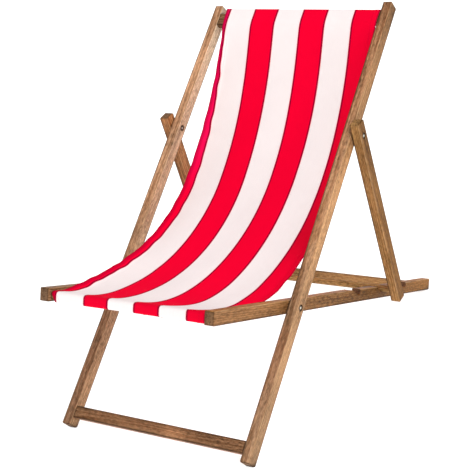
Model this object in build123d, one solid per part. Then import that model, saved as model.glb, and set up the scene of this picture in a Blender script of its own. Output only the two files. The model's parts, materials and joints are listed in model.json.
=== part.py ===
from build123d import *
from math import asin, atan2, cos, hypot, radians, sin, tan
import os

# Wooden stock: six long bars and four cross slats
bar_depth = 32.0  # side view
bar_thickness = 25.0  # across the chair
bar_edge_round = 2.0
bar_end_round = 4.0
bar_nose_round = 5.0  # ends seen from above
slat_thickness = 18.0
slat_edge_round = 3.0
floor_flat = 1.2  # how deep the feet are trimmed to stand flat

# Back frame
frame_width = 540.0  # across the stiles' outer faces
stile_length = 1230.0
stile_angle = 43.3  # degrees above the floor
top_rail_width = 38.0
top_rail_drop = 45.0  # stile top to the middle of the rail
floor_rail_width = 30.0
floor_rail_rise = 35.0  # stile foot to the middle of the rail
rail_inset = 1.5  # slat's front face behind the stile's front face

# Seat frame, inside the back frame
frame_gap = 2.0  # between neighbouring frames
seat_pivot = 382.0  # stile foot to the pivot
seat_front_reach = 324.0  # pivot to the rails' front ends
seat_rear_reach = 806.0  # pivot to the rails' rear ends
rail_end_round = 6.0
front_rail_height = 20.0
front_edge_round = 6.0
front_rail_setback = 21.0  # front end to the middle of the rail
front_rail_drop = 2.5
rear_rail_height = 30.0
rear_rail_inset = 117.0  # rear end to the middle of the rail
notch_first = 350.0  # pivot to the bar's middle in the first notch
notch_pitch = 140.0
notch_count = 3
notch_used = 1  # the middle notch holds the bar
notch_depth = 16.0
notch_lead_angle = 25.0
notch_fit = 0.3

# Prop frame, outside the back frame
prop_pivot = 844.0  # stile foot to the pivot
prop_head = 40.0  # pivot to the top ends
prop_tail = 28.0  # bar to the bottom ends
prop_end_round = 9.0
prop_bar_radius = 9.0
prop_bar_setback = 4.0  # bar's middle behind the leg's middle line
prop_bar_socket = 18.0
socket_fit = 0.05

# Pivot hardware
bolt_radius = 3.0
bolt_fit = 0.05
bolt_tip = 0.5  # thread showing past the nut
head_radius = 6.0
head_height = 4.0
head_dome = 3.0
head_recess_radius = 7.5
head_recess_depth = 4.5
washer_radius = 6.0
washer_thickness = 1.6
nut_flats = 10.0
nut_height = 5.0
nut_recess_radius = 8.0
nut_recess_depth = 7.5
spacer_radius = 10.0

# Hidden dowels
dowel_radius = 3.0
dowel_fit = 0.05
dowel_spacing = 11.0
dowel_in_bar = 16.0
dowel_in_slat = 20.0
dowel_end_gap = 0.6

# Sling
sling_thickness = 1.5
sling_gap = 0.3  # cloth to wood
sling_top_clearance = 7.0  # each side, between the stiles
sling_seat_clearance = 4.0  # each side, between the seat rails
sling_taper = 430.0  # height under the top rail over which the cloth narrows
seat_fall_angle = 25.4  # cloth's slope behind the front rail
sag_rise_angle = 44.6  # between the seat's curve and the back's
back_lean_angle = 66.2  # under the top rail
front_run = 6.0  # cloth's straight lengths, in the same order
middle_run = 20.0
top_run = 77.0
ease_radius = 12.0  # where the cloth leaves a rail
sling_top_turn = 30.0  # turned down behind the top rail
sling_front_turn = 15.0  # turned under the front rail

# Tacks
tack_count = 9
tack_margin = 22.0  # cloth edge to the outer tack
tack_head_radius = 4.0
tack_head_height = 1.6
tack_shank_radius = 0.9
tack_length = 9.0
tack_fit = 0.05
tack_hole_fit = 0.3
tack_end_gap = 0.4
tack_row = 9.0  # cloth's cut end to the row of tacks behind the top rail


def along(angle):
    return Vector(0, cos(radians(angle)), sin(radians(angle)))


# Faces across the chair, on the left side
stile_inner = frame_width / 2 - bar_thickness
rail_inner = stile_inner - frame_gap - bar_thickness
prop_inner = frame_width / 2 + frame_gap
half_depth = bar_depth / 2

# Stiles: the rounded rear corner of each foot is trimmed by the floor
stile_way = along(stile_angle)
foot_height = (
    (half_depth - bar_end_round) * stile_way.Y
    + bar_end_round * (1 - stile_way.Z)
    - floor_flat
)
seat_pivot_height = foot_height + seat_pivot * stile_way.Z

# Seat rails: tilted until their rounded rear corners are trimmed by the floor as well
corner_reach = seat_rear_reach - rail_end_round
corner_drop = half_depth - rail_end_round
corner_height = seat_pivot_height - rail_end_round + floor_flat
seat_tilt = asin(corner_height / hypot(corner_reach, corner_drop)) - atan2(corner_drop, corner_reach)
rail_way = Vector(0, cos(seat_tilt), -sin(seat_tilt))

# The origin lies on the floor under the middle of the seat rails
seat_pivot_point = Vector(0, -(seat_rear_reach - seat_front_reach) / 2 * rail_way.Y, seat_pivot_height)
foot_point = seat_pivot_point - stile_way * seat_pivot
prop_pivot_point = foot_point + stile_way * prop_pivot


def side_plane(inner, point, way):
    return Plane(origin=(inner, point.Y, point.Z), x_dir=way, z_dir=(1, 0, 0))


stile_plane = side_plane(stile_inner, foot_point, stile_way)
rail_plane = side_plane(rail_inner, seat_pivot_point, rail_way)

# Prop legs: their bar rests in the used notch
bar_reach = notch_first + notch_used * notch_pitch
bar_height = half_depth - notch_depth + notch_fit + prop_bar_radius
bar_point = rail_plane.from_local_coords(Vector(bar_reach, bar_height, 0))
bar_way = Vector(0, bar_point.Y - prop_pivot_point.Y, bar_point.Z - prop_pivot_point.Z)
bar_angle = atan2(-bar_way.Z, bar_way.Y) + asin(prop_bar_setback / bar_way.length)
prop_way = Vector(0, cos(bar_angle), -sin(bar_angle))
prop_bar_reach = (bar_way.length**2 - prop_bar_setback**2) ** 0.5
prop_plane = side_plane(prop_inner, prop_pivot_point, prop_way)


def bar(low, high, end_round):
    # Stock with rounded arrises, its ends rounded in the side view and seen from above
    middle = Pos((low + high) / 2, 0, bar_thickness / 2)
    length = high - low
    section = Plane.YZ * RectangleRounded(bar_depth, bar_thickness, bar_edge_round)
    side_view = RectangleRounded(length, bar_depth, end_round)
    top_view = Plane.XZ * RectangleRounded(length, bar_thickness, bar_nose_round)
    stock = extrude(section, length, both=True)
    sides = extrude(side_view, bar_thickness, both=True)
    return middle * (stock & sides & extrude(top_view, bar_depth, both=True))


def rod(radius, low, high):
    return Pos(0, 0, (low + high) / 2) * Cylinder(radius, high - low)


def floor_cut(body):
    reach = stile_length + seat_rear_reach
    ground = Pos(0, 0, -reach / 2) * Box(reach, 2 * reach, reach)
    return body - ground


def bolt_hole(at):
    hole = rod(bolt_radius + bolt_fit, -bar_thickness, 2 * bar_thickness)
    return Pos(at, 0) * hole


def head_recess(at):
    return Pos(at, 0) * rod(head_recess_radius, bar_thickness - head_recess_depth, 2 * bar_thickness)


def nut_recess(at):
    return Pos(at, 0) * rod(nut_recess_radius, -bar_thickness, nut_recess_depth)


def dowel_places(reach, height, upright):
    offset = Vector(0, dowel_spacing / 2) if upright else Vector(dowel_spacing / 2, 0)
    middle = Vector(reach, height)
    return [middle - offset, middle + offset]


# Middles of the slats in their frames' side planes
slat_line = half_depth - rail_inset - slat_thickness / 2
top_rail_reach = stile_length - top_rail_drop
front_rail_reach = front_rail_setback - seat_front_reach
rear_rail_reach = seat_rear_reach - rear_rail_inset
top_dowels = dowel_places(top_rail_reach, slat_line, upright=False)
floor_dowels = dowel_places(floor_rail_rise, slat_line, upright=False)
front_dowels = dowel_places(front_rail_reach, -front_rail_drop, upright=True)
rear_dowels = dowel_places(rear_rail_reach, 0, upright=True)


def bar_dowel_holes(places):
    hole = rod(dowel_radius + dowel_fit, -bar_thickness, dowel_in_bar + dowel_end_gap)
    return [Pos(place.X, place.Y) * hole for place in places]


def both_sides(body):
    return {"left": body, "right": mirror(body, about=Plane.YZ)}


def make_stile():
    body = bar(0, stile_length, bar_end_round)
    body -= [bolt_hole(seat_pivot), head_recess(seat_pivot), bolt_hole(prop_pivot), nut_recess(prop_pivot)]
    body -= bar_dowel_holes(top_dowels + floor_dowels)
    return floor_cut(stile_plane * body)


def notch(reach):
    radius = prop_bar_radius + notch_fit
    lead = radians(notch_lead_angle)
    low = Vector(reach - radius * sin(lead), bar_height - radius * cos(lead))
    mouth = bar_depth
    lip = Vector(low.X - (mouth - low.Y) / tan(lead), mouth)
    wall = reach + radius
    outline = Polyline(lip, low, (reach, bar_height), (wall, bar_height), (wall, mouth), close=True)
    shape = make_face(outline) + Pos(reach, bar_height) * Circle(radius)
    return Pos(0, 0, -bar_thickness) * extrude(shape, 3 * bar_thickness)


def make_seat_rail():
    body = bar(-seat_front_reach, seat_rear_reach, rail_end_round)
    body -= [notch(notch_first + place * notch_pitch) for place in range(notch_count)]
    body -= [bolt_hole(0), nut_recess(0)]
    body -= bar_dowel_holes(front_dowels + rear_dowels)
    return floor_cut(rail_plane * body)


def make_prop_leg():
    body = bar(-prop_head, prop_bar_reach + prop_tail, prop_end_round)
    socket = rod(prop_bar_radius + socket_fit, -bar_thickness, prop_bar_socket + dowel_end_gap)
    body -= [bolt_hole(0), head_recess(0), Pos(prop_bar_reach, prop_bar_setback) * socket]
    return prop_plane * body


def make_prop_bar():
    half = prop_inner + prop_bar_socket
    body = rod(prop_bar_radius, -half, half)
    middle = Plane(origin=(0, bar_point.Y, bar_point.Z), x_dir=prop_way, z_dir=(1, 0, 0))
    return middle * body


def centre_plane(plane):
    return Plane(origin=(0, plane.origin.Y, plane.origin.Z), x_dir=plane.x_dir, z_dir=plane.z_dir)


def make_slat(plane, inner, reach, height, size_along, size_up, places, edge_round=slat_edge_round):
    outline = Pos(reach, height) * RectangleRounded(size_along, size_up, edge_round)
    body = extrude(outline, inner, both=True)
    depth = dowel_in_slat + dowel_end_gap
    for place in places:
        for low in (-2 * inner, inner - depth):
            hole = rod(dowel_radius + dowel_fit, low, low + inner + depth)
            body -= Pos(place.X, place.Y) * hole
    return centre_plane(plane) * body


def make_dowels(plane, places):
    pin = rod(dowel_radius, -dowel_in_slat, dowel_in_bar)
    left = [plane * Pos(place.X, place.Y) * pin for place in places]
    return left + [mirror(pin, about=Plane.YZ) for pin in left]


def make_bolt(outer):
    # Along local Z from the head's top down to the thread's end
    seat = outer - head_recess_depth
    end = outer - 2 * bar_thickness - frame_gap + nut_recess_depth - washer_thickness - nut_height - bolt_tip
    head = rod(head_radius, seat, seat + head_height)
    head = fillet(head.edges().filter_by(GeomType.CIRCLE).sort_by(Axis.Z)[-1], head_dome)
    return head + rod(bolt_radius, end, seat)


def ring(radius, low, high):
    return rod(radius, low, high) - rod(bolt_radius + bolt_fit, low, high)


def make_nut(low):
    body = extrude(RegularPolygon(nut_flats / 2, 6, major_radius=False), nut_height)
    return Pos(0, 0, low) * (body - rod(bolt_radius + bolt_fit, 0, nut_height))


def at_pivot(point, body):
    return Plane(origin=(0, point.Y, point.Z), x_dir=stile_way, z_dir=(1, 0, 0)) * body


# Cloth line: down behind the top rail, over it, along the sag, over the front rail and under it
cloth_offset = sling_gap + sling_thickness / 2
top_wrap_radius = slat_edge_round + cloth_offset
front_wrap_radius = front_edge_round + cloth_offset
top_edge = top_rail_reach + top_rail_width / 2 + cloth_offset
top_front = slat_line + slat_thickness / 2 + cloth_offset
top_back = slat_line - slat_thickness / 2 - cloth_offset
front_top = -front_rail_drop + front_rail_height / 2 + cloth_offset
front_bottom = -front_rail_drop - front_rail_height / 2 - cloth_offset
front_nose = front_rail_reach - slat_thickness / 2 - cloth_offset


def on_stile(reach, height):
    return centre_plane(stile_plane).from_local_coords(Vector(reach, height, 0))


def on_rail(reach, height):
    return centre_plane(rail_plane).from_local_coords(Vector(reach, height, 0))


def cloth_line():
    leaves_top = on_stile(top_rail_reach - top_rail_width / 2, top_front)
    leaves_front = on_rail(front_rail_reach + slat_thickness / 2, front_top)
    fall, rise, lean = along(-seat_fall_angle), along(sag_rise_angle), along(back_lean_angle)
    # The two curves' radii follow from the runs, the slopes and the span between the rails
    seat_turn = tan(radians(seat_fall_angle + sag_rise_angle) / 2)
    back_turn = tan(radians(back_lean_angle - sag_rise_angle) / 2)
    seat_arc = (fall + rise) * seat_turn
    back_arc = (rise + lean) * back_turn
    span = leaves_top - leaves_front - fall * front_run - rise * middle_run - lean * top_run
    spread = seat_arc.Y * back_arc.Z - seat_arc.Z * back_arc.Y
    seat_radius = (span.Y * back_arc.Z - span.Z * back_arc.Y) / spread
    back_radius = (seat_arc.Y * span.Z - seat_arc.Z * span.Y) / spread
    seat_corner = leaves_front + fall * (front_run + seat_radius * seat_turn)
    back_corner = leaves_top - lean * (top_run + back_radius * back_turn)
    points = [
        on_stile(top_edge - sling_top_turn, top_back),
        on_stile(top_edge, top_back),
        on_stile(top_edge, top_front),
        leaves_top,
        back_corner,
        seat_corner,
        leaves_front,
        on_rail(front_nose, front_top),
        on_rail(front_nose, front_bottom),
        on_rail(front_nose + sling_front_turn, front_bottom),
    ]
    sag = [ease_radius, back_radius, seat_radius, ease_radius]
    turns = [top_wrap_radius] * 2 + sag + [front_wrap_radius] * 2
    return FilletPolyline(*points, radius=turns)


sling_top_width = 2 * (stile_inner - sling_top_clearance)
sling_seat_width = 2 * (rail_inner - sling_seat_clearance)


def tack_spots(width):
    half = width / 2 - tack_margin
    return [half * (2 * place / (tack_count - 1) - 1) for place in range(tack_count)]


# Each tack row's plane: origin on the slat's face, local Z out of the wood, local X along the chair's width
top_tack_plane = Plane(
    origin=on_stile(top_edge - sling_top_turn + tack_row, slat_line - slat_thickness / 2),
    x_dir=(1, 0, 0),
    z_dir=-stile_plane.y_dir,
)
front_tack_plane = Plane(
    origin=on_rail(front_rail_reach, -front_rail_drop - front_rail_height / 2),
    x_dir=(1, 0, 0),
    z_dir=-rail_plane.y_dir,
)


def tack_rods(plane, width, radius, low, high):
    return [plane * Pos(spot, 0) * rod(radius, low, high) for spot in tack_spots(width)]


def make_tacks(plane, width):
    seat = sling_gap + sling_thickness
    head = fillet(
        rod(tack_head_radius, seat, seat + tack_head_height).edges().sort_by(Axis.Z)[-1], tack_head_height / 2
    )
    tack = head + rod(tack_shank_radius, seat - tack_length, seat)
    return [plane * Pos(spot, 0) * tack for spot in tack_spots(width)]


def tack_bores(plane, width):
    low = sling_gap + sling_thickness - tack_length - tack_end_gap
    return tack_rods(plane, width, tack_shank_radius + tack_fit, low, slat_thickness)


def make_sling():
    line = cloth_line()
    start = Plane(origin=line @ 0, x_dir=(1, 0, 0), z_dir=line % 0)
    cloth = sweep(start * Rectangle(sling_top_width, sling_thickness), path=line)
    # The sides draw in under the top rail to pass between the seat rails
    high = 2 * stile_length
    taper_top = on_stile(top_rail_reach - top_rail_width / 2, top_front).Z
    half_top = sling_top_width / 2
    half_seat = sling_seat_width / 2
    taper = [(half_seat, taper_top - sling_taper), (half_top, taper_top)]
    sides = [(half_seat, -high), *taper, (half_top, high)]
    outline = Polyline(*sides, *[(-across, height) for across, height in reversed(sides)], close=True)
    plan = extrude(Plane.XZ * make_face(outline), high, both=True)
    cloth &= plan
    hole = tack_shank_radius + tack_hole_fit
    cloth -= tack_rods(top_tack_plane, sling_top_width, hole, 0, tack_length)
    cloth -= tack_rods(front_tack_plane, sling_seat_width, hole, 0, tack_length)
    return cloth


def make_parts():
    parts = {}
    for side, body in both_sides(make_stile()).items():
        parts[f"back_stile_{side}"] = body
    for side, body in both_sides(make_seat_rail()).items():
        parts[f"seat_rail_{side}"] = body
    for side, body in both_sides(make_prop_leg()).items():
        parts[f"prop_leg_{side}"] = body
    parts["prop_bar"] = make_prop_bar()

    top_rail = make_slat(
        stile_plane, stile_inner, top_rail_reach, slat_line, top_rail_width, slat_thickness, top_dowels
    )
    parts["top_rail"] = top_rail - tack_bores(top_tack_plane, sling_top_width)
    parts["floor_rail"] = make_slat(
        stile_plane, stile_inner, floor_rail_rise, slat_line, floor_rail_width, slat_thickness, floor_dowels
    )
    front_rail = make_slat(
        rail_plane,
        rail_inner,
        front_rail_reach,
        -front_rail_drop,
        slat_thickness,
        front_rail_height,
        front_dowels,
        front_edge_round,
    )
    parts["front_rail"] = front_rail - tack_bores(front_tack_plane, sling_seat_width)
    parts["rear_rail"] = make_slat(
        rail_plane, rail_inner, rear_rail_reach, 0, slat_thickness, rear_rail_height, rear_dowels
    )
    for name, plane, places in (
        ("top_rail", stile_plane, top_dowels),
        ("floor_rail", stile_plane, floor_dowels),
        ("front_rail", rail_plane, front_dowels),
        ("rear_rail", rail_plane, rear_dowels),
    ):
        parts[f"{name}_dowels"] = Compound(children=make_dowels(plane, places))

    for name, point, outer in (
        ("seat_pivot", seat_pivot_point, frame_width / 2),
        ("prop_pivot", prop_pivot_point, prop_inner + bar_thickness),
    ):
        for side, body in both_sides(at_pivot(point, make_bolt(outer))).items():
            parts[f"{name}_bolt_{side}"] = body
        joint = outer - bar_thickness - frame_gap
        recess = joint - bar_thickness + nut_recess_depth
        pieces = {
            "spacers": ring(spacer_radius, joint, joint + frame_gap),
            "washers": ring(washer_radius, recess - washer_thickness, recess),
            "nuts": make_nut(recess - washer_thickness - nut_height),
        }
        for kind, body in pieces.items():
            parts[f"{name}_{kind}"] = Compound(children=list(both_sides(at_pivot(point, body)).values()))

    parts["sling"] = make_sling()
    parts["top_tacks"] = Compound(children=make_tacks(top_tack_plane, sling_top_width))
    parts["front_tacks"] = Compound(children=make_tacks(front_tack_plane, sling_seat_width))
    return parts


os.makedirs("parts", exist_ok=True)
for node, shape in make_parts().items():
    export_step(shape, f"parts/{node}.step")
print("seat pivot", seat_pivot_point, "prop pivot", prop_pivot_point)
print("sling length", cloth_line().length)
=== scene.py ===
import json
import math

import bmesh
import bpy
import numpy as np
from mathutils import Matrix, Vector


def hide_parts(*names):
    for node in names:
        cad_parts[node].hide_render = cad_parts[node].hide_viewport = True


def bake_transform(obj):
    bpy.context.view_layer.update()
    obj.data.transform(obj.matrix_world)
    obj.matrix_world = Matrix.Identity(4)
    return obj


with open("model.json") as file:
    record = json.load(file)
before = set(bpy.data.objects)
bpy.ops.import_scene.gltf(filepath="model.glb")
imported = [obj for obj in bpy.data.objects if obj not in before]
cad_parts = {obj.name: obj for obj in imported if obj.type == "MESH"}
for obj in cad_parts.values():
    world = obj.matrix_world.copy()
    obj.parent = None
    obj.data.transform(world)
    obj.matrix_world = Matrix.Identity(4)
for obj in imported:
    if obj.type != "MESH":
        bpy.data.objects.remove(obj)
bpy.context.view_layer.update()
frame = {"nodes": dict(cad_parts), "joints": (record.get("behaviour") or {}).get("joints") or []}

nodes = frame["nodes"]
print("frame loaded,", len(nodes), "nodes")


# small helpers for the shader trees: each gives back the socket to link on

def linkOrSet(tree, socket, item):
    if isinstance(item, bpy.types.NodeSocket):
        tree.links.new(item, socket)
    else:
        socket.default_value = item


def calc(tree, operation, *items, clamp=False):
    node = tree.nodes.new("ShaderNodeMath")
    node.operation, node.use_clamp = operation, clamp
    for socket, item in zip(node.inputs, items):
        linkOrSet(tree, socket, item)
    return node.outputs[0]


def times(tree, first, *others):
    for other in others:
        first = calc(tree, "MULTIPLY", first, other)
    return first


def scaled(tree, item, factor, start, clamp=False):
    # factor times the item, added to a start
    return calc(tree, "MULTIPLY_ADD", item, factor, start, clamp=clamp)


def apart(tree, first, second):
    return calc(tree, "ABSOLUTE", calc(tree, "SUBTRACT", first, second))


def vectorCalc(tree, operation, *items):
    node = tree.nodes.new("ShaderNodeVectorMath")
    node.operation = operation
    for socket, item in zip(node.inputs, items):
        linkOrSet(tree, socket, item)
    return node.outputs["Value" if operation in ("DOT_PRODUCT", "LENGTH") else "Vector"]


def ease(tree, item, low, high):
    # smooth step from 0 at low to 1 at high, either way round
    node = tree.nodes.new("ShaderNodeMapRange")
    node.interpolation_type = "SMOOTHSTEP"
    flipped = low > high
    linkOrSet(tree, node.inputs["Value"], item)
    node.inputs["From Min"].default_value = min(low, high)
    node.inputs["From Max"].default_value = max(low, high)
    node.inputs["To Min"].default_value = 1.0 if flipped else 0.0
    node.inputs["To Max"].default_value = 0.0 if flipped else 1.0
    return node.outputs["Result"]


def stepped(tree, item, stops):
    # smooth steps from stop to stop
    value = stops[0][1]
    for (start, low), (end, high) in zip(stops, stops[1:]):
        value = scaled(tree, ease(tree, item, start, end), high - low, value)
    return value


def noise(tree, vector, scale, detail, roughness):
    # cloudy noise, with a scale of its own along each axis
    spread = tree.nodes.new("ShaderNodeMapping")
    tree.links.new(vector, spread.inputs["Vector"])
    spread.inputs["Scale"].default_value = scale
    node = tree.nodes.new("ShaderNodeTexNoise")
    tree.links.new(spread.outputs["Vector"], node.inputs["Vector"])
    node.inputs["Scale"].default_value = 1.0
    node.inputs["Detail"].default_value = detail
    node.inputs["Roughness"].default_value = roughness
    return node.outputs["Fac"]


def mixColour(tree, share, first, second, blend="MIX"):
    node = tree.nodes.new("ShaderNodeMix")
    node.data_type, node.blend_type = "RGBA", blend
    linkOrSet(tree, node.inputs[0], share)
    linkOrSet(tree, node.inputs[6], first)  # 6 and 7 are the node's pair of colours
    linkOrSet(tree, node.inputs[7], second)
    return node.outputs[2]


def shaded(tree, base, tone):
    return mixColour(tree, 1.0, base, tone, "MULTIPLY")


def ramp(tree, item, stops):
    node = tree.nodes.new("ShaderNodeValToRGB")
    tree.links.new(item, node.inputs["Fac"])
    for element, (place, shade) in zip(node.color_ramp.elements, stops):
        element.position, element.color = place, shade
    return node.outputs["Color"]


def bump(tree, height, distance, strength):
    node = tree.nodes.new("ShaderNodeBump")
    tree.links.new(height, node.inputs["Height"])
    node.inputs["Distance"].default_value = distance
    node.inputs["Strength"].default_value = strength
    return node.outputs["Normal"]


def fromPivot(tree, place, pivot):
    # how far a point is from a pivot's axis, which runs across the chair
    offset = vectorCalc(tree, "SUBTRACT", place, (0, *pivot))
    return vectorCalc(tree, "LENGTH", vectorCalc(tree, "MULTIPLY", offset, (0, 1, 1)))


def splitUp(tree, vector):
    node = tree.nodes.new("ShaderNodeSeparateXYZ")
    tree.links.new(vector, node.inputs[0])
    return list(node.outputs)


def colour(red, green, blue):
    # screen colour, 0 to 255, to the shader's linear one
    parts = [c / 255 for c in (red, green, blue)]
    return [c / 12.92 if c <= 0.04045 else ((c + 0.055) / 1.055) ** 2.4 for c in parts] + [1.0]


def newMaterial(name):
    material = bpy.data.materials.new(name)
    material.use_nodes = True
    tree = material.node_tree
    return material, tree, tree.nodes["Principled BSDF"]


def setSurface(tree, shader, base, roughness, normal):
    for socket, item in (("Base Color", base), ("Roughness", roughness), ("Normal", normal)):
        tree.links.new(item, shader.inputs[socket])


def wear(node, material):
    # a CAD node gets a finish through its slots
    node.data.materials.clear()
    node.data.materials.append(material)


# wood: grain runs along each bar, in the bar's own axes

def leaning(degrees):
    # a bar's line and its upper face, from its slope
    turn = math.radians(degrees)
    return (0, math.cos(turn), math.sin(turn)), (0, -math.sin(turn), math.cos(turn))


pivots = {joint["name"]: tuple(joint["pos_m"][1:]) for joint in frame["joints"]}
seatPivot, propPivot = pivots["back_fold"], pivots["prop_fold"]
slopes = {
    "stile": math.degrees(math.atan2(propPivot[1] - seatPivot[1], propPivot[0] - seatPivot[0])),
    "rail": -18.701,
    "leg": -74.759,
}
stileLine, stileFace = leaning(slopes["stile"])
railLine, railFace = leaning(slopes["rail"])
legLine, legFace = leaning(slopes["leg"])
crossLine = (1, 0, 0)

# tone: how light the stain is from the start of the bar, 0, to its end, 1, with painted light and shade along
# it
# side: painted light and shade: how much lighter or darker it is there on faces towards +X, where the key
# light falls
# tint, sideTint: how much green and blue the stain leaves, sideTint on faces towards +X, where it is a
# painted colour of the key light; tintEnd, sideTintEnd: the same at the bar's end
# topTone: painted light on the upper face; cutShare: how far the end grain covers the stain
timber = {
    "back_stile_left": {
        "along": stileLine, "face": stileFace, "seed": 1.3, "bolts": [seatPivot, propPivot],
        "tint": (1.12, 1.3), "tintEnd": (0.9, 0.92),
        "sideTint": (1.12, 1.25), "sideTintEnd": (0.94, 0.8),
        "tone": [
            (0.0, 0.97), (0.12, 0.95), (0.28, 0.92), (0.42, 1.25),
            (0.6, 1.24), (0.8, 1.24), (0.92, 1.16), (1.0, 0.92),
        ],
        "side": [(0.0, 0.76), (0.1, 0.8), (0.2, 1.14), (0.6, 1.06), (0.78, 0.66), (1.0, 0.5)],
    },
    "back_stile_right": {
        "along": stileLine, "face": stileFace, "seed": 5.9, "bolts": [seatPivot, propPivot],
        "tint": (1.02, 1.18), "sideTint": (1.13, 1.25), "sideTintEnd": (1.42, 2.1),
        "tone": [(0.0, 0.85), (0.25, 1.05), (0.5, 1.4), (0.85, 1.45), (1.0, 1.2)],
        "side": [(0.0, 0.98), (0.06, 1.24), (0.15, 1.24), (0.22, 1.06), (1.0, 1.1)],
    },
    "top_rail": {
        "along": crossLine, "face": stileFace, "seed": 9.1,
        "tint": (1.0, 0.95),
        "tone": [(0.0, 0.6), (1.0, 0.8)],
    },
    "floor_rail": {
        "along": crossLine, "face": stileFace, "seed": 12.7,
        "tint": (0.98, 1.0),
        "tone": [(0.0, 0.72), (0.5, 0.64), (0.6, 1.06), (0.72, 0.74), (1.0, 0.8)],
    },
    "seat_rail_left": {
        "along": railLine, "face": railFace, "seed": 17.2, "bolts": [seatPivot],
        "tint": (0.8, 0.46), "sideTint": (0.92, 0.8), "sideTintEnd": (0.82, 0.38), "topTone": 1.7,
        "tone": [(0.0, 0.75), (0.18, 0.7), (0.3, 0.6), (0.42, 0.72), (0.66, 0.45), (0.85, 0.62), (1.0, 0.65)],
        "side": [(0.0, 0.94), (1.0, 0.96)],
    },
    "seat_rail_right": {
        "along": railLine, "face": railFace, "seed": 21.4, "bolts": [seatPivot],
        "tint": (1.0, 1.0),
        "tone": [(0.0, 0.75), (1.0, 0.8)],
    },
    "front_rail": {
        "along": crossLine, "face": railFace, "seed": 26.6,
        "tint": (0.96, 0.87),
        "tone": [(0.0, 0.8), (1.0, 0.85)],
    },
    "rear_rail": {
        "along": crossLine, "face": railFace, "seed": 31.8,
        "tint": (1.12, 0.96),
        "tone": [(0.0, 0.88), (1.0, 0.98)],
    },
    "prop_leg_left": {
        "along": legLine, "face": legFace, "seed": 37.1, "bolts": [propPivot],
        "tint": (1.01, 0.77), "sideTint": (0.86, 0.48), "cutShare": 0.1,
        "tone": [(0.0, 0.93), (0.2, 0.85), (0.7, 0.84), (1.0, 0.78)],
        "side": [(0.0, 0.76), (0.2, 0.62), (1.0, 0.6)],
    },
    "prop_leg_right": {
        "along": legLine, "face": legFace, "seed": 43.5, "bolts": [propPivot],
        "tint": (0.84, 0.7),
        "tone": [(0.0, 1.02), (0.3, 0.9), (1.0, 0.85)],
    },
    "prop_bar": {
        "along": crossLine, "face": legFace, "seed": 48.3, "isRound": True,
        "tint": (1.14, 0.9),
        "tone": [(0.0, 0.95), (1.0, 1.06)],
    },
}
woodLook = {
    "early": colour(176, 134, 96),
    "late": colour(126, 86, 54),
    # pale colour of the painted highlight on the lit arrises
    "highlightColour": colour(206, 168, 126),
    "endGrain": colour(106, 82, 63),
    # dark brown of the pores, and of painted shade on the arrises, round the ends and round the pivots; also
    # darkens the feet
    "grimeAndShade": colour(52, 36, 24),
    "seedShift": (1.0, 0.37, 0.73),  # how far a bar's seed shifts its noises
    # noises: waves per metre along and across the bar, detail, roughness
    "warp": ((2.2, 30, 30), 2.0, 0.5),
    "fibre": ((14, 620, 620), 3.0, 0.6),
    "pore": ((85, 2100, 2100), 1.0, 0.5),
    "drift": ((3.4, 26, 26), 2.0, 0.55),
    "streak": ((5.0, 150, 150), 2.0, 0.6),
    "fleck": ((75, 260, 260), 3.0, 0.7),
    "breakup": ((22, 60, 60), 3.0, 0.65),
    # growth rings about a pith beside the bar
    "pithFace": (0.021, 0.004),  # how far off it lies, and how far the seed moves it
    "pithSide": (0.017, 1.7),  # how far the seed moves it, and how fast
    "ringStart": 0.5,
    "ringWarp": 0.022,
    "ringPeriod": 0.0052,
    "lateRise": (0.25, 0.9),
    "lateFall": (1.0, 0.92),
    # what makes up the grain, and where it turns from early to late wood
    "lateGrain": 0.34,
    "fibreGrain": 0.42,
    "streakGrain": 0.42,
    "grainFrom": (0.24, 0.86),
    "poreFrom": (0.62, 0.72),
    "poreShare": 0.35,
    # stain: uneven by drifts and flecks, and down to a least tone
    "driftDepth": 1.6,
    "fleckDepth": 2.5,
    "leastTone": 0.3,
    # faces towards +X get the painted side light, upper faces the painted top light
    "sideFrom": (0.35, 0.85),
    "topFrom": (0.5, 0.9),
    "cutFrom": (0.45, 0.9),
    "cutShare": 0.75,
    "leastCutTone": 0.4,
    # arrises, ends, feet and pivots: bands with none at the first distance and all at the second
    "litFrom": (0.7, -0.5, 0.5),  # a painted highlight on the arrises towards this side, painted shade on the others
    "paleFrom": (0.75, 1.0),
    "breakupFrom": (0.3, 0.75),
    "highlightBand": (0.0042, 0.0004),
    "highlightMix": 0.5,
    "edgeShadeBand": (0.0056, 0.0004),
    "edgeShadeShare": 0.95,
    "edgeShadeBroken": -0.25,
    "rimBand": (0.0048, 0.0004),
    "rimShare": 0.7,
    "footBand": (0.016, 0.002),
    "footShare": 0.85,
    "boltBand": (0.011, 0.006),
    "boltShare": 0.75,
    # surface
    "roughness": 0.36,
    "fibreRoughness": 0.22,
    "cutRoughness": 0.2,
    "specular": 0.05,
    "lateRelief": 0.5,
    "bump": (0.00025, 0.7),
}


def barSpace(tree, place, node, bar):
    # a point in the bar's own axes, from the middle of its mesh, and the bar's half sizes
    along, face = Vector(bar["along"]), Vector(bar["face"])
    axes = [along, face, along.cross(face)]
    points = np.array([v.co for v in node.data.vertices])
    reach = [points @ np.array(axis) for axis in axes]
    local = tree.nodes.new("ShaderNodeMapping")
    local.vector_type = "TEXTURE"
    tree.links.new(place, local.inputs["Vector"])
    middle = sum((axis * float(r.min() + r.max()) / 2 for axis, r in zip(axes, reach)), Vector())
    local.inputs["Location"].default_value = middle
    local.inputs["Rotation"].default_value = Matrix(axes).transposed().to_euler("XYZ")
    return local.outputs["Vector"], [float(r.max() - r.min()) / 2 for r in reach]


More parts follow.
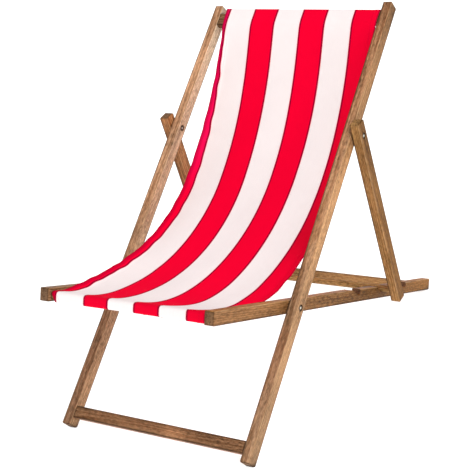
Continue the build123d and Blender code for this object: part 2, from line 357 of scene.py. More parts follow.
def growthRings(tree, bar, seeded, acrossFace, acrossSide):
    # rings about a pith beside the bar, warped lengthwise: 1 in the late wood
    beside, swing = woodLook["pithFace"]
    pithFace = calc(tree, "ADD", acrossFace, beside + swing * math.sin(bar["seed"]))
    swing, turn = woodLook["pithSide"]
    pithSide = calc(tree, "ADD", acrossSide, swing * math.cos(bar["seed"] * turn))
    squares = [calc(tree, "POWER", offset, 2.0) for offset in (pithFace, pithSide)]
    radius = calc(tree, "SQRT", calc(tree, "ADD", *squares))
    warp = calc(tree, "SUBTRACT", noise(tree, seeded, *woodLook["warp"]), 0.5)
    ringAt = calc(tree, "ADD", scaled(tree, warp, woodLook["ringWarp"], radius), woodLook["ringStart"])
    ring = calc(tree, "FRACT", calc(tree, "DIVIDE", ringAt, woodLook["ringPeriod"]))
    return times(tree, ease(tree, ring, *woodLook["lateRise"]), ease(tree, ring, *woodLook["lateFall"]))


# stain tone with painted light and shade: along the bar, on faces towards +X and on the upper face
def stainAndShadeTone(tree, bar, share, onSide, normal):
    tone = stepped(tree, share, bar["tone"])
    if "side" in bar:
        sideTone = calc(tree, "SUBTRACT", stepped(tree, share, bar["side"]), 1.0)
        tone = times(tree, tone, scaled(tree, onSide, sideTone, 1.0))
    if "topTone" in bar:
        onTop = ease(tree, vectorCalc(tree, "DOT_PRODUCT", normal, bar["face"]), *woodLook["topFrom"])
        tone = times(tree, tone, scaled(tree, onTop, bar["topTone"] - 1.0, 1.0))
    return tone


# stain tint, with a painted colour of the key light on faces towards +X
def stainAndShadeTint(tree, bar, share, onSide):
    tint, sideTint = bar["tint"], bar.get("sideTint", bar["tint"])
    ends = (tint, bar.get("tintEnd", tint)), (sideTint, bar.get("sideTintEnd", sideTint))
    along = [mixColour(tree, share, (1, *start, 1), (1, *end, 1)) for start, end in ends]
    return mixColour(tree, onSide, *along)


def edgeHighlightAndShade(tree, bar, base, seeded, parts, half):
    # arrises: a painted highlight, broken up like wear, on those towards the sitter's left and front, where
    # the key light falls; painted shade on the others, and a dark painted rim round the ends
    gaps = [calc(tree, "SUBTRACT", h, calc(tree, "ABSOLUTE", part)) for h, part in zip(half, parts)]
    toEnd, gapFace, gapSide = gaps
    toArris = calc(tree, "MAXIMUM", gapFace, gapSide)
    along, face, lit = Vector(bar["along"]), Vector(bar["face"]), Vector(woodLook["litFrom"])
    litSide = times(tree, parts[2], along.cross(face).dot(lit) / half[2])
    litArris = scaled(tree, parts[1], face.dot(lit) / half[1], litSide)
    # painted highlight on the arrises towards the light, broken up like wear
    pale = ease(tree, litArris, *woodLook["paleFrom"])
    breakup = ease(tree, noise(tree, seeded, *woodLook["breakup"]), *woodLook["breakupFrom"])
    highlight = times(tree, ease(tree, toArris, *woodLook["highlightBand"]), pale, breakup, woodLook["highlightMix"])
    base = mixColour(tree, highlight, base, woodLook["highlightColour"])

    # painted shade on the arrises away from the light, and a dark painted rim round the ends
    edgeShade = times(tree, ease(tree, toArris, *woodLook["edgeShadeBand"]), calc(tree, "SUBTRACT", 1.0, pale))
    edgeShade = times(tree, edgeShade, scaled(tree, breakup, woodLook["edgeShadeBroken"], woodLook["edgeShadeShare"]))
    toRim = calc(tree, "MAXIMUM", toEnd, calc(tree, "MINIMUM", gapFace, gapSide))
    rim = times(tree, ease(tree, toRim, *woodLook["rimBand"]), woodLook["rimShare"])
    return mixColour(tree, calc(tree, "MAXIMUM", edgeShade, rim), base, woodLook["grimeAndShade"])


def woodMaterial(name, bar):
    material, tree, shader = newMaterial("wood_" + name)
    where = tree.nodes.new("ShaderNodeTexCoord")
    place, normal = where.outputs["Object"], where.outputs["Normal"]
    own, half = barSpace(tree, place, nodes[name], bar)
    parts = splitUp(tree, own)
    seeded = vectorCalc(tree, "ADD", own, [bar["seed"] * shift for shift in woodLook["seedShift"]])
    share = scaled(tree, parts[0], 0.5 / half[0], 0.5)
    onSide = ease(tree, vectorCalc(tree, "DOT_PRODUCT", normal, crossLine), *woodLook["sideFrom"])
    endways = vectorCalc(tree, "DOT_PRODUCT", normal, bar["along"])
    cut = ease(tree, calc(tree, "ABSOLUTE", endways), *woodLook["cutFrom"])

    # grain of rings, fibres and streaks
    lateWood = growthRings(tree, bar, seeded, *parts[1:])
    fibre, streak = (noise(tree, seeded, *woodLook[kind]) for kind in ("fibre", "streak"))
    grain = scaled(tree, lateWood, woodLook["lateGrain"], times(tree, fibre, woodLook["fibreGrain"]))
    grain = scaled(tree, streak, woodLook["streakGrain"], grain, clamp=True)
    base = ramp(tree, grain, list(zip(woodLook["grainFrom"], (woodLook["early"], woodLook["late"]))))

    # stain, uneven by broad drifts and short flecks, with painted light and shade on the side and upper faces
    # and along the bar, and dark pores
    patchy = 1.0
    for kind in ("drift", "fleck"):
        depth = woodLook[kind + "Depth"]
        uneven = scaled(tree, noise(tree, seeded, *woodLook[kind]), depth, -depth / 2)
        patchy = calc(tree, "ADD", uneven, patchy)
    stainAndShade = stainAndShadeTone(tree, bar, share, onSide, normal)
    base = shaded(tree, base, times(tree, stainAndShade, calc(tree, "MAXIMUM", patchy, woodLook["leastTone"])))
    base = shaded(tree, base, stainAndShadeTint(tree, bar, share, onSide))
    pore = ease(tree, noise(tree, seeded, *woodLook["pore"]), *woodLook["poreFrom"])
    base = mixColour(tree, times(tree, pore, woodLook["poreShare"]), base, woodLook["grimeAndShade"])

    # end grain, painted highlight and painted shade on the arrises, darker at the feet, painted shade round
    # each pivot
    endGrain = shaded(tree, woodLook["endGrain"], calc(tree, "MAXIMUM", patchy, woodLook["leastCutTone"]))
    base = mixColour(tree, times(tree, cut, bar.get("cutShare", woodLook["cutShare"])), base, endGrain)
    if not bar.get("isRound"):
        base = edgeHighlightAndShade(tree, bar, base, seeded, parts, half)
    # darker at the feet, within a band above the floor
    height = splitUp(tree, place)[2]
    foot = times(tree, ease(tree, height, *woodLook["footBand"]), woodLook["footShare"])
    base = mixColour(tree, foot, base, woodLook["grimeAndShade"])
    # painted shade in a ring round each pivot
    for pivot in bar.get("bolts", []):
        ring = ease(tree, fromPivot(tree, place, pivot), *woodLook["boltBand"])
        base = mixColour(tree, times(tree, ring, woodLook["boltShare"]), base, woodLook["grimeAndShade"])

    roughness = scaled(tree, fibre, woodLook["fibreRoughness"], woodLook["roughness"])
    roughness = scaled(tree, cut, woodLook["cutRoughness"], roughness, clamp=True)
    relief = scaled(tree, lateWood, woodLook["lateRelief"], calc(tree, "SUBTRACT", fibre, pore))
    setSurface(tree, shader, base, roughness, bump(tree, relief, *woodLook["bump"]))
    shader.inputs["Specular IOR Level"].default_value = woodLook["specular"]
    return material


for name, bar in timber.items():
    wear(nodes[name], woodMaterial(name, bar))
print("wood grained on", len(timber), "bars")


# hidden dowels of plain turned beech, zinc on the pivots, blued tacks

dowelLook = {
    "tones": [(0.3, colour(214, 180, 138)), (0.75, colour(176, 136, 94))],
    "spots": ((60, 900, 900), 3.0, 0.6),
    "roughness": (0.2, 0.5),
    "bump": (0.0002, 1.0),
}
zincLook = {
    "tones": [(0.3, colour(232, 224, 208)), (0.8, colour(140, 132, 120))],
    "spots": ((900, 900, 900), 3.0, 0.6),
    "roughness": (0.3, 0.2),
    "bump": (0.00008, 1.0),
    # dark colour of the painted shade on the bolt heads and rings
    "pivotShade": colour(50, 38, 28),
    "pivotShadeShare": 0.88,
    # from the pivot's axis: a painted highlight within the first distance, painted shade beyond the second
    "boltBright": (0.0016, 0.0038),
    "ringBright": (0.0, 0.0006),
}
tackLook = {
    "tones": [(0.45, colour(52, 54, 60)), (0.75, colour(140, 136, 130))],
    "spots": ((1200, 1200, 1200), 3.0, 0.65),
    "roughness": (0.3, 0.3),
    "bump": (0.0001, 1.0),
}


def spottedMaterial(name, look, metallic):
    material, tree, shader = newMaterial(name)
    place = tree.nodes.new("ShaderNodeTexCoord").outputs["Object"]
    spot = noise(tree, place, *look["spots"])
    base = ramp(tree, spot, look["tones"])
    setSurface(tree, shader, base, scaled(tree, spot, *look["roughness"]), bump(tree, spot, *look["bump"]))
    shader.inputs["Metallic"].default_value = metallic
    return material, tree, shader, place, base


def zincMaterial(name, pivot, bright):
    # a painted highlight at the crown of the head, painted shade towards its rim; the spacers, washers and
    # nuts are nearly all painted shade
    material, tree, shader, place, metal = spottedMaterial("zinc_" + name, zincLook, 1.0)
    pivotShade = times(tree, ease(tree, fromPivot(tree, place, pivot), *bright), zincLook["pivotShadeShare"])
    tree.links.new(mixColour(tree, pivotShade, metal, zincLook["pivotShade"]), shader.inputs["Base Color"])
    return material


dowelBeech = spottedMaterial("dowelBeech", dowelLook, 0.0)[0]
for name in ("top_rail_dowels", "floor_rail_dowels", "front_rail_dowels", "rear_rail_dowels"):
    wear(nodes[name], dowelBeech)
for joint, pivot in (("seat_pivot", seatPivot), ("prop_pivot", propPivot)):
    for kind, parts in (("bolt", ("bolt_left", "bolt_right")), ("ring", ("spacers", "washers", "nuts"))):
        zinc = zincMaterial(joint + "_" + kind, pivot, zincLook[kind + "Bright"])
        for part in parts:
            wear(nodes[joint + "_" + part], zinc)
bluedTacks = spottedMaterial("bluedTacks", tackLook, 1.0)[0]
for name in ("top_tacks", "front_tacks"):
    wear(nodes[name], bluedTacks)
print("steel and dowels finished")


# sling: one cloth from behind the top rail to under the front rail

canvas = {
    # side view: turned down behind the top rail, and turned under the front rail
    "offWood": 0.00105,  # the middle of the cloth off the wood
    "topTurn": 0.030,
    "frontTurn": 0.015,
    "slopes": (-25.4, 44.6, 66.2),  # behind the front rail, between the two curves, under the top rail
    "runs": (0.006, 0.020, 0.077),  # straight stretches at the same places
    "turnRadius": 0.00405,
    "frontRadius": 0.00705,
    "easeRadius": (0.085, 0.012),  # where it leaves the top rail and the front rail
    "marks": (2, 5, 6, 7),  # the line's corners: off the top rail, on to the front rail, round its nose
    "arcStep": 0.0008,
    "arcLeast": 8,
    "rows": (46, 208, 32),  # over the top rail, down to the front rail, under it
    "columns": 96,
    # edges across the chair, from the front rail, 0, to the top rail, 1
    "farEdge": (-0.2150, -0.2195),
    "farBow": 0.0145,  # it bows out between the rails
    "farBowRun": (0.135, 0.95),
    "farFlare": 0.0055,  # it flares under the top rail
    "farFlareRun": (0.96, 1.0),
    "nearEdge": (0.2140, 0.2189),
    "nearWiden": 0.0236,  # it swings out towards the top rail
    "nearWidenRun": (0.32, 1.06),
    "topEdges": (-0.2280, 0.2435),  # over the top rail
    "frontFar": -0.2050,  # far edge below the front roll
    "meanWidth": 0.453,
    # the rails hold the cloth straight for this share of its fall
    "topHold": 0.06,
    "frontHold": 0.08,
    "twist": 0.0177,  # the near edge of the seat hangs lower than the far one
    "twistHold": 0.18,
    "twistFade": (0.06, 0.3),  # gone at this y, and full this far in front of it
    "foldLift": 0.014,  # the fold stands up off the top rail at its far end
    "rollLift": 0.0025,  # the roll over the front rail: up at its near end, loose below at its far end
    "rollDrop": (0.0014, 0.0024),
    "underRun": 0.008,
    # hems: a curl, and puckers of two waves
    "curl": {"far": 0.010, "near": 0.006},
    "curlReach": 0.026,
    "pucker": 0.0008,
    "puckerReach": 0.024,
    "puckerPeriod": 0.085,
    "puckerSecond": (0.6, 1.63),
    "puckerPhase": {"far": (0.4, 2.1), "near": (1.7, 0.3)},
    "softFold": (0.0014, 31, 9),  # depth, and waves across and along
    "softFoldFade": 0.3,
    "thick": 0.0020,
    "thinShare": 0.7,
    "hem": 0.018,
    "hemStep": 0.002,
    # stripes, from the front rail, 0, to the top rail, 1: their middle sways, and they widen
    "stripe": 0.073,
    "stripeMiddle": -0.0194,
    "stripeSway": 0.0034,
    "stripeSwayFade": 0.75,
    "stripeSwayPeriod": 0.64,
    "stripeWidth": (0.0712, 0.0767),
    "stripeWidthRun": (0.15, 0.90),
    "rollShift": 0.0026,  # the stripes shift over the front roll
    # the far white stripe is wider: over the front roll, and on the seat, where it rises and fades
    "rollSpread": 0.009,
    "farSpread": 0.0052,
    "farSpreadRise": (0.0, 0.16),
    "farSpreadFade": (0.92, 0.30),
    "farSpreadFrom": (0.14, 0.195),
    "hemRipple": 0.0011,  # the far border ripples with the hem
    "hemRippleReach": 0.03,
    # the fold bends it between these points
    "bendStart": (0, -0.503, 0.376),
    "bendEnd": (0, -0.084, 0.599),
}


def roundedLine(corners, radii):
    # points along a line with rounded corners, and how far along it each corner lies
    points, marks = [np.array(corners[0])], []
    for i, radius in enumerate(radii, 1):
        corner = np.array(corners[i])
        before = corner - np.array(corners[i - 1])
        after = np.array(corners[i + 1]) - corner
        before, after = before / np.linalg.norm(before), after / np.linalg.norm(after)
        turn = math.atan2(before[0] * after[1] - before[1] * after[0], before @ after)
        start = corner - before * radius * math.tan(abs(turn) / 2)
        side = np.array([-before[1], before[0]]) * math.copysign(1, turn)
        centre = start + side * radius
        count = max(canvas["arcLeast"], int(radius * abs(turn) / canvas["arcStep"]))
        for k in range(count + 1):
            angle = abs(turn) * k / count
            points.append(centre - side * radius * math.cos(angle) + before * radius * math.sin(angle))
        marks.append(len(points) - 1 - count // 2)
    points.append(np.array(corners[-1]))
    points = np.array(points)
    length = np.concatenate([[0], np.cumsum(np.linalg.norm(np.diff(points, axis=0), axis=1))])
    return points, length, [length[m] for m in marks]


def slatSpan(name, line, face):
    # from where to where a slat reaches, along its frame's line and towards its upper face
    points = np.array([v.co for v in nodes[name].data.vertices])
    reaches = [points @ np.array(way) for way in (line, face)]
    return [(float(reach.min()), float(reach.max())) for reach in reaches]


def sideView(line, face, places):
    # places along a frame's line and towards its upper face, as (y, z)
    return [tuple(along * np.array(line[1:]) + out * np.array(face[1:])) for along, out in places]


def clothWraps():
    # corners of the cloth: round the top rail from its back, and round the front rail to its underside
    off = canvas["offWood"]
    (low, high), (back, front) = slatSpan("top_rail", stileLine, stileFace)
    edge, back, front = high + off, back - off, front + off
    overTop = [(edge - canvas["topTurn"], back), (edge, back), (edge, front), (low, front)]
    (nose, rear), (under, upper) = slatSpan("front_rail", railLine, railFace)
    nose, under, upper = nose - off, under - off, upper + off
    overFront = [(rear, upper), (nose, upper), (nose, under), (nose + canvas["frontTurn"], under)]
    return sideView(stileLine, stileFace, overTop), sideView(railLine, railFace, overFront)


topWrap, frontWrap = clothWraps()


def clothLine():
    # side view of the cloth; the radii of its two curves close the span between the rails
    leaves, meets = np.array(topWrap[-1]), np.array(frontWrap[0])
    angles = [math.radians(a) for a in canvas["slopes"]]
    fall, rise, lean = (np.array([math.cos(a), math.sin(a)]) for a in angles)
    turns = [math.tan((high - low) / 2) for low, high in zip(angles, angles[1:])]
    span = leaves - meets - sum(run * way for run, way in zip(canvas["runs"], (fall, rise, lean)))
    perRadius = np.stack([(fall + rise) * turns[0], (rise + lean) * turns[1]], axis=1)
    seatRadius, backRadius = np.linalg.solve(perRadius, span)
    seatCorner = meets + fall * (canvas["runs"][0] + seatRadius * turns[0])
    backCorner = leaves - lean * (canvas["runs"][2] + backRadius * turns[1])
    corners = topWrap + [tuple(backCorner), tuple(seatCorner)] + frontWrap
    top, front, (topEase, frontEase) = canvas["turnRadius"], canvas["frontRadius"], canvas["easeRadius"]
    return roundedLine(corners, [top, top, topEase, backRadius, seatRadius, frontEase, front, front])


def smooth(value):
    value = np.clip(value, 0, 1)
    return value * value * (3 - 2 * value)


def eased(place, run):
    # 0 at the first end of a run, 1 at the second
    start, end = run
    return smooth((place - start) / (end - start))


def between(ends, place):
    return ends[0] + (ends[1] - ends[0]) * place


def edgesAt(hung):
    # where the far and near edges lie across the chair
    start, end = canvas["farBowRun"]
    bow = math.sin(math.pi * np.clip((hung - start) / (end - start), 0, 1))
    far = between(canvas["farEdge"], hung) - canvas["farBow"] * bow
    far -= canvas["farFlare"] * eased(hung, canvas["farFlareRun"])
    near = between(canvas["nearEdge"], hung) + canvas["nearWiden"] * eased(hung, canvas["nearWidenRun"])
    return far, near


def stripesAt(hung):
    # where the middle stripe lies, how wide each stripe is, and how much wider the far white one is
    sway = canvas["stripeSway"] * (1 - canvas["stripeSwayFade"] * hung)
    middle = canvas["stripeMiddle"] + sway * math.cos(2 * math.pi * hung / canvas["stripeSwayPeriod"])
    width = between(canvas["stripeWidth"], eased(hung, canvas["stripeWidthRun"]))
    spread = eased(hung, canvas["farSpreadRise"]) * eased(hung, canvas["farSpreadFade"])
    return middle, width, canvas["farSpread"] * spread


def slingRows():
    # each row across the cloth: where it lies in side view, its edges, and how far the rails hold it
    points, length, marks = clothLine()
    topRun, frontRun, noseTop, noseBottom = (marks[corner] for corner in canvas["marks"])
    ends = [0, topRun, frontRun, length[-1]]
    stretches = [np.linspace(a, b, n, endpoint=False) for a, b, n in zip(ends, ends[1:], canvas["rows"])]
    runs = np.concatenate(stretches + [[ends[-1]]])
    line = np.stack([np.interp(runs, length, points[:, k]) for k in (0, 1)], axis=1)
    foldRun = topRun - math.dist(topWrap[2], topWrap[3])
    fadeAt, fadeReach = canvas["twistFade"]
    rows = []
    for k, run in enumerate(runs):
        hang = (frontRun - run) / (frontRun - topRun)  # 1 where it leaves the top rail, 0 at the front rail
        hung = min(max(hang, 0.0), 1.0)
        free = smooth((1 - hang) / canvas["topHold"])
        seatShare = np.clip((fadeAt - line[k][0]) / fadeReach, 0, 1)
        overNose = smooth((run - frontRun) / (noseTop - frontRun))
        downFront = smooth((run - noseTop) / (noseBottom - noseTop))
        far, near = edgesAt(hung)
        middle, width, spread = stripesAt(hung)
        overTop = 0.0
        if hang > 1:
            settle = smooth((run - foldRun) / (topRun - foldRun))
            far += (canvas["topEdges"][0] - far) * (1 - settle)
            near += (canvas["topEdges"][1] - near) * (1 - settle)
            overTop = smooth(min((topRun - run) / (topRun - foldRun), run / foldRun))
        far += (canvas["frontFar"] - far) * downFront
        slope = line[min(k + 1, len(line) - 1)] - line[max(k - 1, 0)]
        rows.append({
            "run": run,
            "place": line[k],
            "slope": slope / np.linalg.norm(slope),
            "far": far,
            "near": near,
            "loose": free * smooth(hang / canvas["frontHold"]),  # 0 on the rails
            "folds": smooth((1 - hang) / canvas["softFoldFade"]),
            "twist": canvas["twist"] * seatShare * smooth(hang / canvas["twistHold"]) * free,
            "overTop": overTop,
            "overNose": overNose,
            "downFront": downFront,
            "underFront": smooth((run - noseBottom) / canvas["underRun"]),
            "stripeMiddle": middle + canvas["rollShift"] * overNose,
            "stripeWidth": width,
            "farSpread": spread + canvas["rollSpread"] * overNose,
        })
    return rows, ends[-1], foldRun


def puckerWave(run, side):
    turn = run / canvas["puckerPeriod"] * 2 * math.pi
    first, second = canvas["puckerPhase"][side]
    share, quicker = canvas["puckerSecond"]
    return math.sin(turn + first) + share * math.sin(turn * quicker + second)


def slingPoint(row, share):
    # where a point of the cloth hangs, how far it is from the edge, and its wave of the hem
    x = row["far"] + (row["near"] - row["far"]) * share
    y, z = row["place"]
    toEdge = min(x - row["far"], row["near"] - x)
    lean = x / canvas["nearEdge"][0]  # 1 at the near edge
    z -= row["twist"] * lean

    # curled hems, edge puckers and a few long soft folds, square to the cloth
    side = "far" if x < 0 else "near"
    wave = puckerWave(row["run"], side)
    lift = canvas["curl"][side] * max(0.0, 1 - toEdge / canvas["curlReach"]) ** 2
    lift += canvas["pucker"] * wave * math.exp(-toEdge / canvas["puckerReach"])
    depth, wavesAcross, wavesAlong = canvas["softFold"]
    lift += depth * math.sin(x * wavesAcross + row["run"] * wavesAlong) * row["folds"]
    lift *= row["loose"]
    y, z = y + row["slope"][1] * lift, z - row["slope"][0] * lift

    # roll over the front rail, and the loose fold over the top rail
    rise = canvas["rollLift"] * max(lean, 0.0) * row["overNose"] * (1 - row["downFront"])
    drop = canvas["rollDrop"][0] + canvas["rollDrop"][1] * max(-lean, 0.0)
    rise -= drop * row["downFront"] * (1 - row["underFront"])
    y, z = y + railFace[1] * rise, z + railFace[2] * rise
    rise = canvas["foldLift"] * (1 - share) * row["overTop"]
    y, z = y + stileLine[1] * rise, z + stileLine[2] * rise
    return (x, y, z), toEdge, wave


def stripePlace(row, x, toEdge, wave):
    # where a point lies across the flat, striped cloth
    wide = (x - row["stripeMiddle"]) / row["stripeWidth"] * canvas["stripe"]
    spreadFrom, spreadTo = canvas["farSpreadFrom"]
    wide += row["farSpread"] * smooth((-x - spreadFrom) / (spreadTo - spreadFrom))
    if x < 0:
        wide += canvas["hemRipple"] * wave * math.exp(-toEdge / canvas["hemRippleReach"]) * row["loose"]
    return wide


def makeSling():
    rows, length, foldRun = slingRows()
    bm = bmesh.new()
    bmesh.ops.create_grid(bm, x_segments=canvas["columns"], y_segments=len(rows) - 1, size=1.0)
    bm.verts.index_update()
    flat = bm.loops.layers.uv.new("flat")
    trim = bm.loops.layers.uv.new("trim")
    thin = bm.verts.layers.deform.new()

    clothPlace = {}
    for v in bm.verts:
        share, row = (v.co.x + 1) / 2, rows[round((1 - v.co.y) / 2 * (len(rows) - 1))]
        place, toEdge, wave = slingPoint(row, share)
        v.co = place
        clothPlace[v.index] = (stripePlace(row, place[0], toEdge, wave), row["run"], toEdge)
        v[thin][0] = float(smooth((canvas["hem"] - toEdge) / canvas["hemStep"] + 0.5))
    for face in bm.faces:
        for loop in face.loops:
            wide, run, toEdge = clothPlace[loop.vert.index]
            loop[flat].uv = (wide, run)
            loop[trim].uv = (toEdge, run)
        face.smooth = True
    bmesh.ops.recalc_face_normals(bm, faces=bm.faces)
    mesh = bpy.data.meshes.new("striped_sling")
    bm.to_mesh(mesh)
    bm.free()
    piece = bpy.data.objects.new("striped_sling", mesh)
    bpy.context.scene.collection.objects.link(piece)
    piece.vertex_groups.new(name="hem")
    wall = piece.modifiers.new("clothThickness", "SOLIDIFY")
    wall.thickness, wall.offset = canvas["thick"], 0.0
    wall.vertex_group, wall.thickness_vertex_group = "hem", canvas["thinShare"]
    return piece, length, foldRun


clothLook = {
    "red": colour(249, 0, 49),
    "white": colour(251, 241, 240),
    # dark red of the seam lines and stitches, and of painted shade lines
    "redSeamAndShade": colour(140, 0, 46),
    "redFar": colour(252, 14, 86),  # the far stripe has faded towards pink on the back
    "redNearShade": colour(216, 5, 40),  # painted shadow of the near stile, low on the back of the near stripe, and painted shade on all red over the front roll
    # bands across and along the cloth: none at the first place, full at the second
    "farFrom": (-0.178, -0.184),
    "fadeRun": (0.62, 0.4),
    "nearFrom": (0.112, 0.15),
    "nearRun": (0.82, 0.66),
    "nearRise": (-0.05, 0.7),
    "rollRun": (1.135, 1.165),
    "rollShare": 0.45,
    "fray": ((400, 900, 1), 1.0, 0.5),
    "frayDepth": 0.0012,
    "borderBlur": (-0.0004, 0.0004),
    "bleed": (-0.0034, 0.0),  # red dye drawn into the white
    "bleedShare": 0.16,
    # dark lines in the red: seam lines at the borders, and painted shade along the selvedges, on the far edge
    # and at the fold over the top rail
    "seamRise": (0.0003, 0.0010),
    "seamFall": (0.0058, 0.0036),
    "seamShare": 0.95,
    "selvedge": (0.0046, 0.0012),
    "selvedgeShare": 0.6,
    "farBand": (0.013, 0.004),
    "farBandFrom": (-0.02, -0.03),
    "farBandShare": 0.5,
    "topLine": (0.0034, 0.0012),
    "topLineShare": 0.6,
    "thread": 0.0017,
    "weaveShade": 0.05,
    "slub": ((900, 40, 1), 2.0, 0.6),
    "soil": ((9, 9, 9), 3.0, 0.55),
    "mottle": 0.08,
    "stitch": 0.0044,
    "stitchDash": (0.22, 0.3),
    "stitchIn": 0.003,
    "stitchBand": (0.0008, 0.0004),
    "stitchShare": 0.25,
    "roughness": (0.15, 0.75),
    "specular": 0.02,
    "slubRelief": 0.6,
    "grooveRelief": -1.5,
    "stitchRelief": 2.0,
    "bump": (0.0003, 0.6),
}


def redDye(tree, wide, run, toEdge, overBorder, foldRun):
    # faded on the far stripe; painted shadow deepens the near stripe low on the back, and painted shade the
    # red on the front roll; seam lines and painted shade lines in the red
    faded = times(tree, ease(tree, wide, *clothLook["farFrom"]), ease(tree, run, *clothLook["fadeRun"]))
    dye = mixColour(tree, faded, clothLook["red"], clothLook["redFar"])
    # painted shadow of the near stile on the near stripe, and painted shade on the front roll
    nearStripe = ease(tree, wide, *clothLook["nearFrom"])
    lowBack = times(tree, ease(tree, run, *clothLook["nearRun"]), ease(tree, run, *clothLook["nearRise"]))
    nearShade = times(tree, nearStripe, lowBack)
    nearShade = scaled(tree, ease(tree, run, *clothLook["rollRun"]), clothLook["rollShare"], nearShade)
    dye = mixColour(tree, nearShade, dye, clothLook["redNearShade"])

    # painted shade along the selvedges, the far edge and the fold over the top rail
    farSide = ease(tree, wide, *clothLook["farBandFrom"])
    rise, fall = (ease(tree, overBorder, *clothLook[k]) for k in ("seamRise", "seamFall"))
    seamAndShade = times(tree, rise, fall, clothLook["seamShare"])
    for line, share in (
        (ease(tree, toEdge, *clothLook["selvedge"]), clothLook["selvedgeShare"]),
        (times(tree, ease(tree, toEdge, *clothLook["farBand"]), farSide), clothLook["farBandShare"]),
        (ease(tree, apart(tree, run, foldRun), *clothLook["topLine"]), clothLook["topLineShare"]),
    ):
        seamAndShade = calc(tree, "MAXIMUM", seamAndShade, times(tree, line, share))
    return mixColour(tree, seamAndShade, dye, clothLook["redSeamAndShade"])


def clothMaterial(foldRun):
    material, tree, shader = newMaterial("stripedCanvas")
    flat = tree.nodes.new("ShaderNodeUVMap")
    flat.uv_map = "flat"
    wide, run = splitUp(tree, flat.outputs["UV"])[:2]
    trim = tree.nodes.new("ShaderNodeUVMap")
    trim.uv_map = "trim"
    toEdge = splitUp(tree, trim.outputs["UV"])[0]

    # stripes: white in the middle, each one stripe wide
    fray, slub, soil = (
        noise(tree, flat.outputs["UV"], *clothLook[kind]) for kind in ("fray", "slub", "soil")
    )
    frayed = scaled(tree, calc(tree, "SUBTRACT", fray, 0.5), clothLook["frayDepth"], wide)
    fromWhite = calc(tree, "PINGPONG", frayed, canvas["stripe"])
    overBorder = calc(tree, "SUBTRACT", fromWhite, canvas["stripe"] / 2)
    bleed = times(tree, ease(tree, overBorder, *clothLook["bleed"]), clothLook["bleedShare"])
    white = mixColour(tree, bleed, clothLook["white"], clothLook["red"])
    red = redDye(tree, wide, run, toEdge, overBorder, foldRun)
    base = mixColour(tree, ease(tree, overBorder, *clothLook["borderBlur"]), white, red)

    # plain weave, slubs and a little soil
    perThread = 2 * math.pi / clothLook["thread"]
    warpThread, weftThread = (calc(tree, "SINE", times(tree, way, perThread)) for way in (wide, run))
    weave = scaled(tree, times(tree, warpThread, weftThread), 0.5, 0.5)
    shade = scaled(tree, weave, clothLook["weaveShade"], 1 - clothLook["weaveShade"])
    for spots in (slub, soil):
        shade = times(tree, shade, scaled(tree, spots, clothLook["mottle"], 1 - clothLook["mottle"] / 2))
    base = shaded(tree, base, shade)

    # a row of stitches along each hem
    step = calc(tree, "FRACT", calc(tree, "DIVIDE", run, clothLook["stitch"]))
    groove = ease(tree, apart(tree, toEdge, canvas["hem"] - clothLook["stitchIn"]), *clothLook["stitchBand"])
    stitch = times(tree, ease(tree, step, *clothLook["stitchDash"]), groove)
    base = mixColour(tree, times(tree, stitch, clothLook["stitchShare"]), base, clothLook["redSeamAndShade"])

    relief = scaled(tree, slub, clothLook["slubRelief"], weave)
    relief = scaled(tree, groove, clothLook["grooveRelief"], relief)
    relief = scaled(tree, stitch, clothLook["stitchRelief"], relief)
    roughness = scaled(tree, slub, *clothLook["roughness"])
    setSurface(tree, shader, base, roughness, bump(tree, relief, *clothLook["bump"]))
    shader.inputs["Specular IOR Level"].default_value = clothLook["specular"]
    return material


sling, slingLength, foldRun = makeSling()
sling.data.materials.append(clothMaterial(foldRun))
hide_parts("sling")
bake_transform(sling)
print("sling hung,", round(slingLength, 3), "m long")


# floor, light and camera

softbox = {"from": (0.74, -0.24, 0.63), "power": 2.0, "spread": 60}
studio = {
    "floor": 30.0,
    "floorColour": colour(250, 250, 249),
    "floorRoughness": 0.9,
    "sky": 0.58,
    "suns": [
        {"name": "sideSoftbox", **softbox, "passes": "striped_sling"},
        # the same light on the cloth, where the frames throw no shadow
        {"name": "clothSoftbox", **softbox, "lights": "striped_sling"},
        {"name": "floorWash", "from": (0, 0, 1), "power": 2.2, "spread": 5, "lights": "studioFloor"},
    ],
}
photoView = {
    "place": (1.58815, -2.35805, 1.36365),
    "azimuth": 34.713,
    "elevation": 19.662,
    "roll": -7.474,
    "lens": 90.069,
    "sensor": 36.0,
}


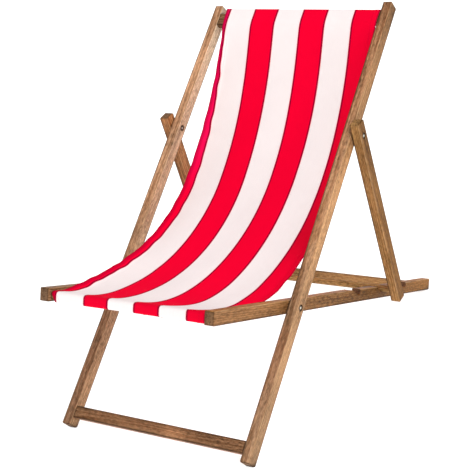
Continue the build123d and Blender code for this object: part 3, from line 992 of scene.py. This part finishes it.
def makeFloor():
    bm = bmesh.new()
    bmesh.ops.create_grid(bm, x_segments=2, y_segments=2, size=studio["floor"])
    mesh = bpy.data.meshes.new("studioFloor")
    bm.to_mesh(mesh)
    bm.free()
    floor = bpy.data.objects.new("studioFloor", mesh)
    bpy.context.scene.collection.objects.link(floor)
    material, tree, shader = newMaterial("paleFloor")
    shader.inputs["Base Color"].default_value = studio["floorColour"]
    shader.inputs["Roughness"].default_value = studio["floorRoughness"]
    floor.data.materials.append(material)


def pieceGroup(name, piece, state):
    # a group of one piece, for what a light falls on or is blocked by
    group = bpy.data.collections.new(name)
    group.objects.link(bpy.data.objects[piece])
    group.collection_objects[0].light_linking.link_state = state
    return group


def makeLight():
    world = bpy.data.worlds.new("studioSky")
    world.use_nodes = True
    background = world.node_tree.nodes["Background"]
    background.inputs["Color"].default_value = (1, 1, 1, 1)
    background.inputs["Strength"].default_value = studio["sky"]
    bpy.context.scene.world = world
    for sun in studio["suns"]:
        data = bpy.data.lights.new(sun["name"], "SUN")
        data.energy, data.angle = sun["power"], math.radians(sun["spread"])
        light = bpy.data.objects.new(sun["name"], data)
        light.rotation_euler = Vector(sun["from"]).to_track_quat("Z", "Y").to_euler()
        bpy.context.scene.collection.objects.link(light)
        linking = light.light_linking
        if "passes" in sun:
            linking.receiver_collection = pieceGroup(sun["name"] + "Passes", sun["passes"], "EXCLUDE")
        if "lights" in sun:
            linking.receiver_collection = pieceGroup(sun["name"] + "Lights", sun["lights"], "INCLUDE")
            linking.blocker_collection = pieceGroup(sun["name"] + "Blockers", sun["lights"], "INCLUDE")


def makeCamera():
    turn, tilt, roll = (math.radians(photoView[k]) for k in ("azimuth", "elevation", "roll"))
    back = Vector((math.sin(turn) * math.cos(tilt), -math.cos(turn) * math.cos(tilt), math.sin(tilt)))
    right = Vector((math.cos(turn), math.sin(turn), 0))
    up = back.cross(right)
    rolledRight = right * math.cos(roll) + up * math.sin(roll)
    rolledUp = up * math.cos(roll) - right * math.sin(roll)
    data = bpy.data.cameras.new("photoCamera")
    data.lens, data.sensor_width = photoView["lens"], photoView["sensor"]
    camera = bpy.data.objects.new("photoCamera", data)
    pose = Matrix((rolledRight, rolledUp, back)).transposed().to_4x4()
    pose.translation = photoView["place"]
    camera.matrix_world = pose
    bpy.context.scene.collection.objects.link(camera)
    bpy.context.scene.camera = camera


makeFloor()
makeLight()
makeCamera()
bpy.context.scene.view_settings.view_transform = "Standard"
print("studio set")
